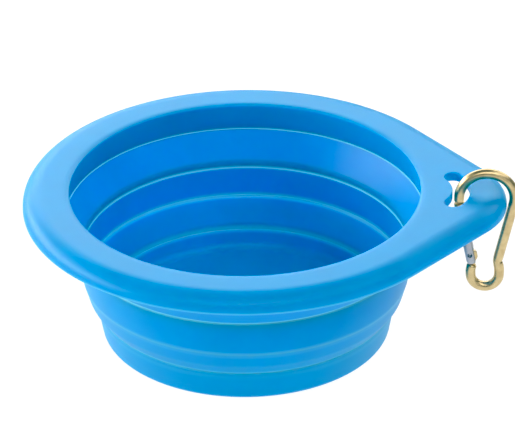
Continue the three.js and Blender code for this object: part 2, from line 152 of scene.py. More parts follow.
# Snap hook: arch, limb, foot and nose of the wire in the upright plane through the tab
WIRE_RADIUS = 1.5
ARCH_X = 71
ARCH_Z = 44.2
ARCH_RADIUS = 8.1
LIMB_LEAN = math.radians(12)
WAIST_SIDE = 3.6
WAIST_DROP = 21.23
FOOT_RADIUS = 4.2
FOOT_DROP = 25.7
PIVOT = Vector((66.45, 0, 25.396))
GATE_LEAN = math.radians(-11.594)
GATE_SPAN = 17.664
WIRE_END_INSETS = (0.35, 0.18, 0.06)
KNEE_PINCH = 0.16
KNEE_REACH = 1.3
FOOT_BOW = 0.25
NECK_BOW = 0.2
NOSE_LIFT = 0.3
COLLAR_RADIUS = 1.6
COLLAR_FOOT = 16.35
COLLAR_TOP = 17.4
COLLAR_ROUNDING = 0.15

# Gate, and the blade and tongue of the wire that meet it, along the gate's axis from the pivot
SLEEVE_RADIUS = 1.5
SLEEVE_BORE = 1.2
SLEEVE_BELOW = 3
SLEEVE_LENGTH = 15.664
SLEEVE_ROUNDING = 0.12
SLEEVE_FOOT_RADIUS = 1.36
SLEEVE_TAPER = 0.8
GATE_SLOT_HALF = 0.75
TONGUE_SLOT_TOP = 2.2
NOSE_SLOT_FOOT = 13.064
RIVET_RADIUS = 0.7
RIVET_HALF = 1.3
RIVET_CHAMFER = 0.1
RIVET_DISH = 0.5
RIVET_LAND = 0.8
RIVET_HOLE_RADIUS = 0.74
PIN_HOLE_RADIUS = 0.58
PIN_SIDE = 0.3
PIN_HEIGHT = 14.664
BLADE_OUTER = 1.2
BLADE_INNER = 0.85
BLADE_FOOT = 13.664
BLADE_THICKNESS = 1.1
NOTCH_FLOOR = -0.4
NOTCH_HALF = 0.7
NECK = 3.7
TONGUE_RADIUS = 0.95
TONGUE_CHEEK = [(2.1, -1.4), (2.1, 0), (1.7, 0.75)]
TONGUE_ARC = (50, 180)
PLATE_BEVEL = 0.12
PLATE_OVERLAP = 0.7
PLATE_BEVEL_PROFILE = 0.5

# Turns a place in the gate's own frame into one in the part's frame
GATE_FRAME = Matrix.Translation(PIVOT) @ Matrix.Rotation(GATE_LEAN, 4, "Y")

# Where the limb bends into the foot
KNEE = Vector((ARCH_X + WAIST_SIDE, 0, ARCH_Z - WAIST_DROP))

# Painted highlights on the fold lines and thin edges of the silicone: their place, how much paler each
# looks and how far that spreads
PAINTED_FOLD_HIGHLIGHTS = [
    ((52.6, 37.8), 1.0, 1.0),
    ((48.2, 27.0), 0.9, 0.9),
    ((47.0, 17.7), 0.75, 1.6),
    ((42.9, 8.2), 0.5, 1.9),
    ((49.35, 29.3), 0.75, 0.8),
    ((48.4, 18.3), 0.25, 1.2),
    ((44.6, 9.9), 0.4, 1.0),
    ((65.4, 41.6), 0.4, 1.2),
]

# Silicone: its two shades, the painted highlight colour of the folds, roughness, gloss, clouds and the fine
# grain of the mould
SILICONE_DARK = (0.0, 0.30, 0.67)
SILICONE_LIGHT = (0.0, 0.32, 0.71)
FOLD_HIGHLIGHT_COLOUR = (0.22, 0.77, 1.0)
SILICONE_SMOOTHEST = 0.40
SILICONE_ROUGHEST = 0.46
SILICONE_GLOSS = 0.45
CLOUD_SCALE = 60
CLOUD_DETAIL = 3
MOULD_GRAIN_SCALE = 2200
MOULD_GRAIN_DETAIL = 2
MOULD_GRAIN_STRENGTH = 0.06
MOULD_GRAIN_DEPTH = 0.00006

# How far light travels in the silicone, in millimetres, and the share of it for red, green and blue
LIGHT_REACH = 2.2
LIGHT_REACH_SHARES = (0.1, 0.85, 1)

# Metals: dark and light shade, least and most roughness, scale and strength of the fine grain
GILT = ((0.58, 0.44, 0.225), (0.70, 0.56, 0.30), 0.28, 0.38, 1500, 0.08)
ZINC = ((0.36, 0.37, 0.42), (0.44, 0.45, 0.50), 0.32, 0.42, 1800, 0.06)
STEEL = ((0.42, 0.43, 0.46), (0.50, 0.51, 0.54), 0.28, 0.38, 1800, 0.06)
TINT_SCALE = 420
TINT_DETAIL = 4
METAL_GRAIN_DETAIL = 3
METAL_GRAIN_DEPTH = 0.00005

# Where a noise turns from the dark shade to the light one
SHADE_START = 0.35
SHADE_END = 0.65

# Sockets of a colour mix, which are known by their numbers
MIX_FIRST = 6
MIX_SECOND = 7
MIX_RESULT = 2

# Fineness of the forms: counts of steps, points and sides, and the limits for arcs, crisp edges and welds
STATIONS = 288
ARC_STEP = math.radians(9)
LEAST_ARC_STEPS = 2
RIM_STEPS = 240
TAB_SIDE_STEPS = 16
TAB_TIP_STEPS = 64
SKIRT_STEPS = 4
RIM_EDGE_STEPS = 18
MOUTH_STEPS = 10
RIM_FLAT_POINTS = 7
SLOT_SIDE_STEPS = 40
SLOT_END_STEPS = 20
SLOT_ROUNDING_STEPS = 5
ARCH_STEPS = 40
LIMB_STEPS = 40
LEAD_STEPS = 10
FOOT_STEPS = 36
NECK_STEPS = 8
TONGUE_STEPS = 8
PLATE_BEVEL_STEPS = 3
WIRE_SIDES = 32
ROD_SIDES = 24
TUBE_SIDES = 64
SHARP_ANGLE = math.radians(38)
WELD_DISTANCE = 1e-7


# A point on a circle in a plane
def on_circle(radius, angle):
    return Vector((radius * math.cos(angle), radius * math.sin(angle)))


# Closed outline whose corners, given as radius, height and rounding, are turned into arcs
def rounded(corners):
    points = []
    for index, (radius, height, rounding) in enumerate(corners):
        here = Vector((radius, height))
        if rounding == 0:
            points.append(here)
            continue
        before = (Vector(corners[index - 1][:2]) - here).normalized()
        after = (Vector(corners[(index + 1) % len(corners)][:2]) - here).normalized()
        opening = before.angle(after)
        reach = rounding / math.tan(opening / 2)
        centre = here + (before + after).normalized() * (rounding / math.sin(opening / 2))
        first = here + before * reach - centre
        last = here + after * reach - centre
        sweep = math.pi - opening
        steps = max(LEAST_ARC_STEPS, math.ceil(sweep / ARC_STEP))
        for step in range(steps + 1):
            share = step / steps
            spoke = first * math.sin((1 - share) * sweep) + last * math.sin(share * sweep)
            points.append(centre + spoke / math.sin(sweep))
    return points


# New object from a mesh in the making, its faces turned outward and smooth between sharp edges
def finished(name, build):
    bmesh.ops.remove_doubles(build, verts=build.verts, dist=WELD_DISTANCE)
    bmesh.ops.recalc_face_normals(build, faces=build.faces)
    mesh = bpy.data.meshes.new(name)
    build.to_mesh(mesh)
    build.free()
    smooth(mesh)
    piece = bpy.data.objects.new(name, mesh)
    bpy.context.scene.collection.objects.link(piece)
    return piece


# Smooth shading with edges sharper than the limit kept crisp
def smooth(mesh):
    mesh.polygons.foreach_set("use_smooth", [True] * len(mesh.polygons))
    mesh.set_sharp_from_angle(angle=SHARP_ANGLE)


# Skin over closed loops of points, each loop joined to the next, and the last to the first where it closes
def lofted(build, loops, closed):
    rows = [[build.verts.new(Vector(point) * MM) for point in loop] for loop in loops]
    count = len(rows[0])
    pairs = list(zip(rows, rows[1:]))
    if closed:
        pairs.append((rows[-1], rows[0]))
    for low, high in pairs:
        for index in range(count):
            following = (index + 1) % count
            build.faces.new((low[index], low[following], high[following], high[index]))
    return rows


# Solid turned about the bowl's axis from a closed outline of radius and height
def turned(name, outline):
    build = bmesh.new()
    loops = []
    for station in range(STATIONS):
        angle = 2 * math.pi * station / STATIONS
        across = Vector((math.cos(angle), math.sin(angle), 0))
        loops.append([across * point.x + Vector((0, 0, point.y)) for point in outline])
    lofted(build, loops, closed=True)
    return finished(name, build)


# A corner moved by an offset, given a rounding
def corner(place, offset=(0, 0), rounding=0):
    return (place[0] + offset[0], place[1] + offset[1], rounding)


# Base ring with the floor; a narrow ledge runs along its inner and outer top edges
def base_outline():
    return rounded(
        [
            (0, 0, 0),
            (FLOOR_RADIUS - FLOOR_ROUNDING, 0, 0),
            (BASE_FOOT_RADIUS, 0, FOOT_ROUNDING),
            corner(BASE_OUTER, (0, 0), 2 * OUTER_ROUNDING),
            corner(BASE_OUTER, (-OUTER_LEDGE, 0)),
            corner(BASE_INNER, INNER_LEDGE),
            corner(BASE_INNER, (0, 0), LEDGE_ROUNDING),
            (FLOOR_RADIUS, FLOOR, FLOOR_ROUNDING),
            (FLOOR_RADIUS - 2 * FLOOR_ROUNDING, FLOOR, 0),
            (0, FLOOR, 0),
        ]
    )


# Thin pleat rooted in the rings below and above it; it bulges outside, swells inside and has a lip on top
def web_outline(inner_foot, outer_foot, inner_head, outer_head, belly, lip, overhang, swell):
    root = (-ROOT[0], -ROOT[1])
    return rounded(
        [
            corner((inner_foot[0] + INNER_LEDGE[0], inner_foot[1] + INNER_LEDGE[1]), root),
            corner((outer_foot[0] - OUTER_LEDGE, outer_foot[1]), root),
            corner(belly, (0, 0), BELLY_ROUNDING),
            corner(outer_head, (-INSET, -INSET)),
            corner(outer_head, (-2 * ROOT[0], ROOT[0])),
            corner(inner_head, (ROOT[1], ROOT[1])),
            corner(inner_head, (INSET, INSET)),
            corner(inner_head, (-lip[0], -lip[1]), LIP_ROUNDING),
            corner(inner_head, overhang),
            corner(swell, (0, 0), SWELL_ROUNDING),
        ]
    )


# Stiff ring in the middle of the wall: a soft bead at its outer foot and a crisp lip at its outer top
def middle_outline():
    return rounded(
        [
            corner(MIDDLE_INNER_FOOT),
            corner(MIDDLE_OUTER_FOOT, (-FLAP[0], -FLAP[1])),
            corner(MIDDLE_OUTER_FOOT, (0, 0), BEAD_ROUNDING),
            corner(MIDDLE_WAIST, (0, 0), WAIST_ROUNDING),
            corner(MIDDLE_OUTER_TOP, (0, 0), OUTER_ROUNDING),
            corner(MIDDLE_OUTER_TOP, (-OUTER_LEDGE, -INSET)),
            corner(MIDDLE_INNER_TOP, INNER_LEDGE),
            corner(MIDDLE_INNER_TOP, (0, 0), LEDGE_ROUNDING),
        ]
    )


# Stations round rim and tab: points and outward directions of the outline seen from above
def rim_stations():
    tip_centre = TAB_REACH - TAB_TIP_RADIUS
    tangent = math.acos((RIM_RADIUS - TAB_TIP_RADIUS) / tip_centre)
    stations = []
    for step in range(RIM_STEPS):
        outward = on_circle(1, tangent + (2 * math.pi - 2 * tangent) * step / RIM_STEPS)
        stations.append((outward * RIM_RADIUS, outward))
    outward = on_circle(1, -tangent)
    rim_end = outward * RIM_RADIUS
    tip_start = Vector((tip_centre, 0)) + outward * TAB_TIP_RADIUS
    for step in range(TAB_SIDE_STEPS):
        stations.append((rim_end.lerp(tip_start, step / TAB_SIDE_STEPS), outward))
    for step in range(TAB_TIP_STEPS):
        outward = on_circle(1, -tangent + 2 * tangent * step / TAB_TIP_STEPS)
        stations.append((Vector((tip_centre, 0)) + outward * TAB_TIP_RADIUS, outward))
    outward = on_circle(1, tangent)
    tip_end = Vector((tip_centre, 0)) + outward * TAB_TIP_RADIUS
    rim_start = outward * RIM_RADIUS
    for step in range(TAB_SIDE_STEPS):
        stations.append((tip_end.lerp(rim_start, step / TAB_SIDE_STEPS), outward))
    return stations


# Quarter round as pairs of how far in and how far up, from upright to level
def quarter(width, height, steps):
    pairs = []
    for step in range(steps + 1):
        angle = math.pi / 2 * step / steps
        pairs.append((width * (1 - math.cos(angle)), height * math.sin(angle)))
    return pairs


# Points on a straight line between two points, without its ends
def inner_points(first, last, count):
    return [first.lerp(last, step / (count + 1)) for step in range(1, count + 1)]


# Points of a section through the rim: pairs of how far in from a station of its outline and how high
def inward_points(place, outward, pairs):
    return [(place - outward * inset).to_3d() + Vector((0, 0, height)) for inset, height in pairs]


# Section through the rim at one station: its outer side, top, mouth, inner wall, recess and skirt
def rim_section(place, outward):
    side_bottom = RIM_TOP - RIM_SIDE
    plate_bottom = RIM_TOP - RIM_PLATE
    recess_top = plate_bottom - RECESS_ROUNDING
    mouth_bottom = RIM_TOP - MOUTH_ROUNDING_HEIGHT
    skirt = quarter(SKIRT_ROUNDING, SKIRT_ROUNDING, SKIRT_STEPS)
    recess = quarter(RECESS_ROUNDING, RECESS_ROUNDING, SKIRT_STEPS)
    edge = quarter(RIM_ROUNDING_WIDTH, RIM_ROUNDING_HEIGHT, RIM_EDGE_STEPS)
    mouth = quarter(MOUTH_ROUNDING_WIDTH, MOUTH_ROUNDING_HEIGHT, MOUTH_STEPS)
    outer = [(inset, side_bottom + SKIRT_ROUNDING - rise) for inset, rise in reversed(skirt)]
    outer += [(inset, RIM_TOP - RIM_ROUNDING_HEIGHT + rise) for inset, rise in edge]
    wall = [(MOUTH_RADIUS + inset, mouth_bottom + rise) for inset, rise in reversed(mouth)]
    wall += [UPPER_INNER_FOOT, UPPER_OUTER_FOOT]
    wall += [(UPPER_OUTER_FOOT[0] + inset, recess_top + rise) for inset, rise in recess]
    under = [(SKIRT_WALL + inset, recess_top + rise) for inset, rise in reversed(recess)]
    under += [(SKIRT_WALL - inset, side_bottom + SKIRT_ROUNDING - rise) for inset, rise in skirt]
    across = place.normalized()
    outer_points = inward_points(place, outward, outer)
    wall_points = [(across * radius).to_3d() + Vector((0, 0, height)) for radius, height in wall]
    under_points = inward_points(place, outward, under)
    top_points = inner_points(outer_points[-1], wall_points[0], RIM_FLAT_POINTS)
    ceiling_points = inner_points(wall_points[-1], under_points[0], RIM_FLAT_POINTS)
    return outer_points + top_points + wall_points + ceiling_points + under_points


# Rim, skirt, tab and the ring under the rim, before the slot is cut
def rim_blank():
    build = bmesh.new()
    loops = [rim_section(place, outward) for place, outward in rim_stations()]
    lofted(build, loops, closed=True)
    return finished("bowl_rim", build)


# Outline of the curved slot, widened by a margin: two arcs about one centre, joined by round ends
def slot_outline(margin):
    half = SLOT_WIDTH / 2
    centre = Vector((SLOT_MIDDLE - SLOT_BEND, 0))
    turn = math.asin((SLOT_LENGTH / 2 - half) / SLOT_BEND)
    far_end = centre + on_circle(SLOT_BEND, turn)
    near_end = centre + on_circle(SLOT_BEND, -turn)
    size = half + margin
    arcs = [
        (centre, SLOT_BEND + size, -turn, turn, SLOT_SIDE_STEPS),
        (far_end, size, turn, turn + math.pi, SLOT_END_STEPS),
        (centre, SLOT_BEND - size, turn, -turn, SLOT_SIDE_STEPS),
        (near_end, size, math.pi - turn, 2 * math.pi - turn, SLOT_END_STEPS),
    ]
    points = []
    for middle, radius, first, last, steps in arcs:
        for step in range(steps):
            points.append(middle + on_circle(radius, first + (last - first) * step / steps))
    return points


# Cutter for the slot, flared at its top and foot so that both edges come out rounded
def slot_cutter():
    bottom = RIM_TOP - RIM_PLATE
    flare = quarter(SLOT_ROUNDING, SLOT_ROUNDING, SLOT_ROUNDING_STEPS)
    levels = [(bottom - SLOT_CUTTER_PAST, SLOT_ROUNDING)]
    levels += [(bottom + SLOT_ROUNDING - rise, inset) for inset, rise in reversed(flare)]
    levels += [(RIM_TOP - SLOT_ROUNDING + rise, inset) for inset, rise in flare]
    levels.append((RIM_TOP + SLOT_CUTTER_PAST, SLOT_ROUNDING))
    build = bmesh.new()
    loops = []
    for height, margin in levels:
        loops.append([Vector((point.x, point.y, height)) for point in slot_outline(margin)])
    rows = lofted(build, loops, closed=False)
    build.faces.new(rows[0])
    build.faces.new(rows[-1])
    return finished("slot_cutter", build)


# Takes cutters out of a piece and removes them
def cut(piece, cutters):
    for cutter in cutters:
        difference = piece.modifiers.new("cut", "BOOLEAN")
        difference.object = cutter
        difference.solver = "MANIFOLD"
    bpy.context.view_layer.update()
    seen = piece.evaluated_get(bpy.context.evaluated_depsgraph_get())
    result = bpy.data.meshes.new_from_object(seen)
    piece.modifiers.clear()
    piece.data = result
    smooth(result)
    for cutter in cutters:
        bpy.data.objects.remove(cutter)


# Points from one place to another, bowed to the side by an amount
def bowed(first, last, bow, steps):
    points = []
    for step in range(1, steps + 1):
        share = step / steps
        points.append(first.lerp(last, share) + Vector((bow * math.sin(math.pi * share), 0, 0)))
    return points


# Points on an arc in the hook's plane
def hook_arc(height, radius, first, last, steps):
    points = []
    for step in range(steps + 1):
        spoke = on_circle(radius, first + (last - first) * step / steps)
        points.append(Vector((ARCH_X + spoke.x, 0, height + spoke.y)))
    return points


# Middle line of the wire: nose, arch, limb, knee, foot and neck
def wire_path():
    arch = hook_arc(ARCH_Z, ARCH_RADIUS, math.pi, -LIMB_LEAN, ARCH_STEPS)
    foot = hook_arc(ARCH_Z - FOOT_DROP, FOOT_RADIUS, 0, -math.pi, FOOT_STEPS)
    nose = GATE_FRAME @ Vector((0, 0, GATE_SPAN + NOSE_LIFT))
    neck = GATE_FRAME @ Vector((0, 0, -NECK))
    limb = bowed(arch[-1], KNEE, 0, LIMB_STEPS)
    lead = bowed(KNEE, foot[0], FOOT_BOW, LEAD_STEPS)
    return [nose] + arch + limb + lead + foot[1:] + bowed(foot[-1], neck, -NECK_BOW, NECK_STEPS)


# Radius of the wire at a place, pinched a little at the knee
def wire_radius(place):
    closeness = max(0, 1 - (place - KNEE).length / KNEE_REACH)
    return WIRE_RADIUS - KNEE_PINCH * closeness


# Round wire along a path in the hook's plane, its ends slightly rounded
def add_wire(build, path):
    ways = []
    for index in range(len(path)):
        ahead = path[min(index + 1, len(path) - 1)]
        behind = path[max(index - 1, 0)]
        ways.append((ahead - behind).normalized())
    depth = max(WIRE_END_INSETS)
    stops = [(path[0] + ways[0] * (depth - inset), ways[0], inset) for inset in WIRE_END_INSETS]
    stops += [(place, way, 0) for place, way in list(zip(path, ways))[1:-1]]
    for inset in reversed(WIRE_END_INSETS):
        stops.append((path[-1] - ways[-1] * (depth - inset), ways[-1], inset))
    loops = []
    for place, way, inset in stops:
        side = Vector((way.z, 0, -way.x))
        loop = []
        for index in range(WIRE_SIDES):
            spoke = on_circle(wire_radius(place) - inset, 2 * math.pi * index / WIRE_SIDES)
            loop.append(place + side * spoke.x + Vector((0, spoke.y, 0)))
        loops.append(loop)
    rows = lofted(build, loops, closed=False)
    build.faces.new(rows[0])
    build.faces.new(rows[-1])


# Upset collar at the wire's nose, turned about the gate's axis
def add_collar(build):
    outline = rounded(
        [
            (0, COLLAR_FOOT, 0),
            (COLLAR_RADIUS, COLLAR_FOOT, COLLAR_ROUNDING),
            (COLLAR_RADIUS, COLLAR_TOP, COLLAR_ROUNDING),
            (0, COLLAR_TOP, 0),
        ]
    )
    loops = []
    for index in range(WIRE_SIDES):
        across = on_circle(1, 2 * math.pi * index / WIRE_SIDES)
        loops.append([GATE_FRAME @ Vector((across.x * p.x, across.y * p.x, p.y)) for p in outline])
    lofted(build, loops, closed=True)


# Flat plate in the hook's plane from an outline in the gate's frame, its edges bevelled
def add_plate(build, outline, thickness, bevel):
    plate = bmesh.new()
    half = thickness / 2
    front = [plate.verts.new(GATE_FRAME @ Vector((x, -half, z)) * MM) for x, z in outline]
    back = [plate.verts.new(GATE_FRAME @ Vector((x, half, z)) * MM) for x, z in outline]
    plate.faces.new(front)
    plate.faces.new(list(reversed(back)))
    for index in range(len(outline)):
        following = (index + 1) % len(outline)
        plate.faces.new((front[index], front[following], back[following], back[index]))
    bmesh.ops.recalc_face_normals(plate, faces=plate.faces)
    bmesh.ops.bevel(
        plate,
        geom=list(plate.edges),
        offset=bevel * MM,
        segments=PLATE_BEVEL_STEPS,
        profile=PLATE_BEVEL_PROFILE,
        affect="EDGES",
        clamp_overlap=True,
    )
    mesh = bpy.data.meshes.new("plate")
    plate.to_mesh(mesh)
    plate.free()
    build.from_mesh(mesh)
    bpy.data.meshes.remove(mesh)


# Bent wire with the collar and notched blade of its nose and the flattened tongue at the gate's pivot
def hook_wire():
    build = bmesh.new()
    add_wire(build, wire_path())
    add_collar(build)
    blade_top = GATE_SPAN + PLATE_OVERLAP
    low = PIN_HEIGHT - NOTCH_HALF
    high = PIN_HEIGHT + NOTCH_HALF
    blade = [
        (-BLADE_OUTER, blade_top),
        (-BLADE_OUTER, BLADE_FOOT),
        (NOTCH_FLOOR, BLADE_FOOT),
        (NOTCH_FLOOR, low),
        (NOTCH_FLOOR, high),
        (BLADE_INNER, high),
        (BLADE_INNER, blade_top),
    ]
    add_plate(build, blade, BLADE_THICKNESS, PLATE_BEVEL)
    tongue_foot = -NECK - PLATE_OVERLAP
    tongue = [
        (-TONGUE_RADIUS, tongue_foot),
        (TONGUE_RADIUS, tongue_foot),
        (TONGUE_RADIUS, -SLEEVE_BELOW),
    ]
    tongue += TONGUE_CHEEK
    first, last = TONGUE_ARC
    for step in range(TONGUE_STEPS + 1):
        spoke = on_circle(TONGUE_RADIUS, math.radians(first + (last - first) * step / TONGUE_STEPS))
        tongue.append((spoke.x, spoke.y))
    add_plate(build, tongue, BLADE_THICKNESS, PLATE_BEVEL)
    return finished("hook_wire", build)


# Rod across the hook's plane at a place in the gate's frame
def cross_rod(name, radius, half, along, up):
    build = bmesh.new()
    loops = []
    for reach in (-half, half):
        loop = []
        for index in range(ROD_SIDES):
            spoke = on_circle(radius, 2 * math.pi * index / ROD_SIDES)
            loop.append(GATE_FRAME @ Vector((along + spoke.x, reach, up + spoke.y)))
        loops.append(loop)
    rows = lofted(build, loops, closed=False)
    build.faces.new(rows[0])
    build.faces.new(rows[-1])
    return finished(name, build)


# Box in the gate's frame from its low and high corners
def gate_box(name, low, high):
    build = bmesh.new()
    bmesh.ops.create_cube(build, size=1)
    size = Vector(high) - Vector(low)
    middle = (Vector(high) + Vector(low)) / 2
    for vert in build.verts:
        place = Vector((vert.co.x * size.x, vert.co.y * size.y, vert.co.z * size.z)) + middle
        vert.co = GATE_FRAME @ place * MM
    return finished(name, build)


# Rolled sheet gate with its two slots and cross holes
def gate_tube():
    outline = rounded(
        [
            (SLEEVE_FOOT_RADIUS, -SLEEVE_BELOW, 0),
            (SLEEVE_RADIUS, -SLEEVE_BELOW + SLEEVE_TAPER, 0),
            (SLEEVE_RADIUS, SLEEVE_LENGTH, SLEEVE_ROUNDING),
            (SLEEVE_BORE, SLEEVE_LENGTH, SLEEVE_ROUNDING),
            (SLEEVE_BORE, -SLEEVE_BELOW, 0),
        ]
    )
    build = bmesh.new()
    loops = []
    for index in range(TUBE_SIDES):
        across = on_circle(1, 2 * math.pi * index / TUBE_SIDES)
        loops.append([GATE_FRAME @ Vector((across.x * p.x, across.y * p.x, p.y)) for p in outline])
    lofted(build, loops, closed=True)
    tube = finished("gate_tube", build)
    past = 3 * SLEEVE_RADIUS
    half = GATE_SLOT_HALF
    cutters = [
        gate_box("tongue_slot", (0, -half, -past), (past, half, TONGUE_SLOT_TOP)),
        gate_box("nose_slot", (-past, -half, NOSE_SLOT_FOOT), (0, half, SLEEVE_LENGTH + past)),
        cross_rod("rivet_hole", RIVET_HOLE_RADIUS, past, 0, 0),
        cross_rod("pin_hole", PIN_HOLE_RADIUS, past, PIN_SIDE, PIN_HEIGHT),
    ]
    cut(tube, cutters)
    return tube


# Rivet of the gate, dished at both ends
def rivet():
    land = RIVET_RADIUS * RIVET_LAND
    end = [(0, RIVET_HALF - RIVET_DISH), (land / 2, RIVET_HALF - RIVET_DISH), (land, RIVET_HALF)]
    end.append((RIVET_RADIUS, RIVET_HALF - RIVET_CHAMFER))
    profile = [(radius, -reach) for radius, reach in end] + list(reversed(end))
    build = bmesh.new()
    loops = []
    for index in range(ROD_SIDES):
        across = on_circle(1, 2 * math.pi * index / ROD_SIDES)
        loops.append([GATE_FRAME @ Vector((across.x * r, reach, across.y * r)) for r, reach in profile])
    lofted(build, loops, closed=True)
    return finished("rivet_dished", build)


# Node material with a principled shader; returns the material, its nodes, its links and the shader
def new_material(name):
    material = bpy.data.materials.new(name)
    material.use_nodes = True
    nodes = material.node_tree.nodes
    shader = nodes["Principled BSDF"]
    return material, nodes, material.node_tree.links, shader


# Noise over the object's own coordinates
def noise_node(nodes, links, scale, detail):
    place = nodes.new("ShaderNodeTexCoord")
    noise = nodes.new("ShaderNodeTexNoise")
    noise.inputs["Scale"].default_value = scale
    noise.inputs["Detail"].default_value = detail
    links.new(place.outputs["Object"], noise.inputs["Vector"])
    return noise


# Colour ramp between two colours over a noise
def mottle(nodes, links, noise, low, high):
    ramp = nodes.new("ShaderNodeValToRGB")
    ramp.color_ramp.elements[0].position = SHADE_START
    ramp.color_ramp.elements[1].position = SHADE_END
    ramp.color_ramp.elements[0].color = (*low, 1)
    ramp.color_ramp.elements[1].color = (*high, 1)
    links.new(noise.outputs["Fac"], ramp.inputs["Fac"])
    return ramp


# Roughness that wanders between two values over a noise
def wander(nodes, links, noise, low, high, socket):
    spread = nodes.new("ShaderNodeMapRange")
    spread.inputs["To Min"].default_value = low
    spread.inputs["To Max"].default_value = high
    links.new(noise.outputs["Fac"], spread.inputs["Value"])
    links.new(spread.outputs["Result"], socket)


# Fine relief from a noise
def relief(nodes, links, noise, strength, depth, shader):
    bump = nodes.new("ShaderNodeBump")
    bump.inputs["Strength"].default_value = strength
    bump.inputs["Distance"].default_value = depth
    links.new(noise.outputs["Fac"], bump.inputs["Height"])
    links.new(bump.outputs["Normal"], shader.inputs["Normal"])


# Mask of the painted fold highlights: how close a point lies to the fold lines, from 0 well away to 1 on a
# line, over radius and height
def fold_highlight_mask(nodes, links):
    place = nodes.new("ShaderNodeTexCoord")
    level = nodes.new("ShaderNodeVectorMath")
    level.operation = "MULTIPLY"
    level.inputs[1].default_value = (1, 1, 0)
    links.new(place.outputs["Object"], level.inputs[0])
    radius = nodes.new("ShaderNodeVectorMath")
    radius.operation = "LENGTH"
    links.new(level.outputs["Vector"], radius.inputs[0])
    split = nodes.new("ShaderNodeSeparateXYZ")
    links.new(place.outputs["Object"], split.inputs["Vector"])
    section = nodes.new("ShaderNodeCombineXYZ")
    links.new(radius.outputs["Value"], section.inputs["X"])
    links.new(split.outputs["Z"], section.inputs["Y"])
    closest = None
    for crease, strength, spread in PAINTED_FOLD_HIGHLIGHTS:
        away = nodes.new("ShaderNodeVectorMath")
        away.operation = "DISTANCE"
        away.inputs[1].default_value = (crease[0] * MM, crease[1] * MM, 0)
        links.new(section.outputs["Vector"], away.inputs[0])
        fade = nodes.new("ShaderNodeMapRange")
        fade.interpolation_type = "SMOOTHERSTEP"
        fade.inputs["From Min"].default_value = 0
        fade.inputs["From Max"].default_value = spread * MM
        fade.inputs["To Min"].default_value = strength
        fade.inputs["To Max"].default_value = 0
        links.new(away.outputs["Value"], fade.inputs["Value"])
        if closest is None:
            closest = fade.outputs["Result"]
            continue
        larger = nodes.new("ShaderNodeMath")
        larger.operation = "MAXIMUM"
        links.new(closest, larger.inputs[0])
        links.new(fade.outputs["Result"], larger.inputs[1])
        closest = larger.outputs["Value"]
    return closest


# Satin blue silicone: faint cloudiness, painted highlights along the folds where less light scatters
# inside, fine grain of the mould
def silicone_material():
    material, nodes, links, shader = new_material("blue_silicone")
    cloud = noise_node(nodes, links, CLOUD_SCALE, CLOUD_DETAIL)
    ramp = mottle(nodes, links, cloud, SILICONE_DARK, SILICONE_LIGHT)
    blend = nodes.new("ShaderNodeMix")
    blend.data_type = "RGBA"
    closeness = fold_highlight_mask(nodes, links)
    links.new(closeness, blend.inputs["Factor"])
    links.new(ramp.outputs["Color"], blend.inputs[MIX_FIRST])
    # Paler colour on the fold lines and the rim's lower edge: a painted highlight mixed into the silicone's
    # own colour
    blend.inputs[MIX_SECOND].default_value = (*FOLD_HIGHLIGHT_COLOUR, 1)
    links.new(blend.outputs[MIX_RESULT], shader.inputs["Base Color"])
    wander(nodes, links, cloud, SILICONE_SMOOTHEST, SILICONE_ROUGHEST, shader.inputs["Roughness"])
    grain = noise_node(nodes, links, MOULD_GRAIN_SCALE, MOULD_GRAIN_DETAIL)
    relief(nodes, links, grain, MOULD_GRAIN_STRENGTH, MOULD_GRAIN_DEPTH, shader)
    shader.inputs["Specular IOR Level"].default_value = SILICONE_GLOSS
    depth = nodes.new("ShaderNodeMath")
    depth.operation = "SUBTRACT"
    depth.inputs[0].default_value = 1
    links.new(closeness, depth.inputs[1])
    links.new(depth.outputs["Value"], shader.inputs["Subsurface Weight"])
    shader.inputs["Subsurface Radius"].default_value = LIGHT_REACH_SHARES
    shader.inputs["Subsurface Scale"].default_value = LIGHT_REACH * MM
    return material


# Metal with a wandering tint and a fine grain
def metal_material(name, low, high, smooth_end, rough_end, grain_scale, grain_strength):
    material, nodes, links, shader = new_material(name)
    shader.inputs["Metallic"].default_value = 1
    tint = noise_node(nodes, links, TINT_SCALE, TINT_DETAIL)
    ramp = mottle(nodes, links, tint, low, high)
    links.new(ramp.outputs["Color"], shader.inputs["Base Color"])
    wander(nodes, links, tint, smooth_end, rough_end, shader.inputs["Roughness"])
    grain = noise_node(nodes, links, grain_scale, METAL_GRAIN_DETAIL)
    relief(nodes, links, grain, grain_strength, METAL_GRAIN_DEPTH, shader)
    return material


# Soft rectangular light aimed at the bowl
def softbox(name, place, width, height, power):
    lamp = bpy.data.lights.new(name, "AREA")
    lamp.shape = "RECTANGLE"
    lamp.size = width
    lamp.size_y = height
    lamp.energy = power
    light = bpy.data.objects.new(name, lamp)
    light.location = place
    aim = LIGHT_AIM - Vector(place)
    light.rotation_euler = aim.to_track_quat("-Z", "Y").to_euler()
    bpy.context.scene.collection.objects.link(light)


# Camera at the photograph's place, turned into the part's frame
def add_camera():
    lens = bpy.data.cameras.new("camera")
    lens.sensor_fit = "HORIZONTAL"
    lens.sensor_width = SENSOR_WIDTH
    lens.lens = FOCAL_PIXELS * SENSOR_WIDTH / IMAGE_WIDTH
    lens.clip_end = CLIP_END
    camera = bpy.data.objects.new("camera", lens)
    bpy.context.scene.collection.objects.link(camera)
    place = Matrix.Translation(Vector(CAMERA_PLACE) * MM)
    yaw = Matrix.Rotation(math.radians(CAMERA_YAW), 4, "Z")
    pitch = Matrix.Rotation(math.radians(90 - CAMERA_PITCH), 4, "X")
    roll = Matrix.Rotation(math.radians(CAMERA_ROLL), 4, "Z")
    turn = Matrix.Rotation(math.radians(VIEW_TURN), 4, "Z")
    camera.matrix_world = turn @ place @ yaw @ pitch @ roll
    bpy.context.scene.camera = camera


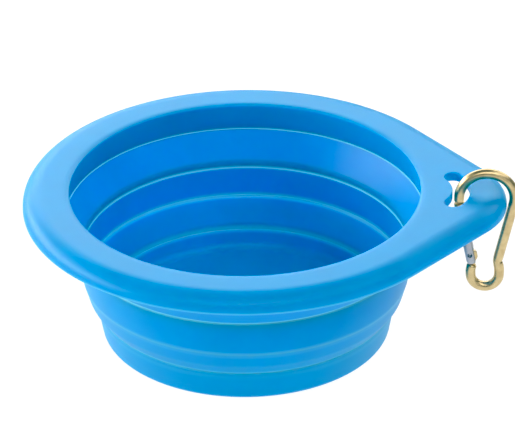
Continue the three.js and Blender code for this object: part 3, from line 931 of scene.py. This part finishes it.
# Glowing white floor that hardly takes a shadow
def add_floor():
    build = bmesh.new()
    reach = STAGE_REACH
    corners = [(-reach, -reach), (reach, -reach), (reach, reach), (-reach, reach)]
    build.faces.new([build.verts.new((x, y, -STAGE_DROP)) for x, y in corners])
    floor = finished("floor", build)
    material, _, _, shader = new_material("pale_floor")
    shader.inputs["Base Color"].default_value = (STAGE_GREY, STAGE_GREY, STAGE_GREY, 1)
    shader.inputs["Roughness"].default_value = STAGE_ROUGHNESS
    shader.inputs["Specular IOR Level"].default_value = 0
    shader.inputs["Emission Color"].default_value = (1, 1, 1, 1)
    shader.inputs["Emission Strength"].default_value = STAGE_GLOW
    floor.data.materials.append(material)


# White surroundings whose brightness changes with height and from left to right
def add_surroundings():
    world = bpy.data.worlds.new("studio")
    world.use_nodes = True
    nodes = world.node_tree.nodes
    links = world.node_tree.links
    direction = nodes.new("ShaderNodeTexCoord")
    split = nodes.new("ShaderNodeSeparateXYZ")
    links.new(direction.outputs["Generated"], split.inputs["Vector"])
    fall = nodes.new("ShaderNodeMapRange")
    fall.inputs["To Min"].default_value = SKY_LOW
    fall.inputs["To Max"].default_value = SKY_HIGH
    links.new(split.outputs["Z"], fall.inputs["Value"])
    across = nodes.new("ShaderNodeMapRange")
    across.inputs["From Min"].default_value = -1
    across.inputs["From Max"].default_value = 1
    across.inputs["To Min"].default_value = SKY_LEFT
    across.inputs["To Max"].default_value = SKY_RIGHT
    links.new(split.outputs["X"], across.inputs["Value"])
    strength = nodes.new("ShaderNodeMath")
    strength.operation = "MULTIPLY"
    links.new(fall.outputs["Result"], strength.inputs[0])
    links.new(across.outputs["Result"], strength.inputs[1])
    links.new(strength.outputs["Value"], nodes["Background"].inputs["Strength"])
    nodes["Background"].inputs["Color"].default_value = (1, 1, 1, 1)
    bpy.context.scene.world = world


# Plain display of colours, without the weak red that the photograph lacks
def set_view():
    settings = bpy.context.scene.view_settings
    settings.view_transform = "Standard"
    settings.use_curve_mapping = True
    settings.curve_mapping.black_level = (RED_BLACK_LEVEL, 0, 0)
    settings.curve_mapping.update()


# Gives a piece its material
def dress(piece, material):
    piece.data.materials.clear()
    piece.data.materials.append(material)


add_camera()
add_floor()
add_surroundings()
for light in LIGHTS:
    softbox(*light)
set_view()

silicone = silicone_material()
gilt = metal_material("gilt_wire", *GILT)
zinc = metal_material("bright_zinc", *ZINC)
steel = metal_material("plain_steel", *STEEL)

base = turned("bowl_base", base_outline())
dress(base, silicone)
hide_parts("base_cup")
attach(base, "base")

lower_web = turned(
    "bowl_lower_fold",
    web_outline(
        BASE_INNER,
        BASE_OUTER,
        MIDDLE_INNER_FOOT,
        MIDDLE_OUTER_FOOT,
        LOWER_WEB_BELLY,
        LOWER_LIP,
        LOWER_OVERHANG,
        LOWER_SWELL,
    ),
)
dress(lower_web, silicone)
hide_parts("lower_fold_web")
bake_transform(lower_web)

middle = turned("bowl_middle_ring", middle_outline())
dress(middle, silicone)
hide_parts("middle_wall_ring")
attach(middle, "middle")

upper_web = turned(
    "bowl_upper_fold",
    web_outline(
        MIDDLE_INNER_TOP,
        MIDDLE_OUTER_TOP,
        UPPER_INNER_FOOT,
        UPPER_OUTER_FOOT,
        UPPER_WEB_BELLY,
        UPPER_LIP,
        UPPER_OVERHANG,
        UPPER_SWELL,
    ),
)
dress(upper_web, silicone)
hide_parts("upper_fold_web")
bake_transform(upper_web)

rim = rim_blank()
cut(rim, [slot_cutter()])
dress(rim, silicone)
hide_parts("rim_flange")
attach(rim, "rim")

hook = hook_wire()
dress(hook, gilt)
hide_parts("hook_body")
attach(hook, "hook")

gate = gate_tube()
dress(gate, zinc)
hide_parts("gate_sleeve")
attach(gate, "gate")

pivot_rivet = rivet()
dress(pivot_rivet, zinc)
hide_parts("gate_rivet")
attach(pivot_rivet, "gate")

for name in ("gate_latch_pin", "spring_plunger", "gate_spring"):
    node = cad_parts[name]
    node.data.materials.clear()
    node.data.materials.append(steel)
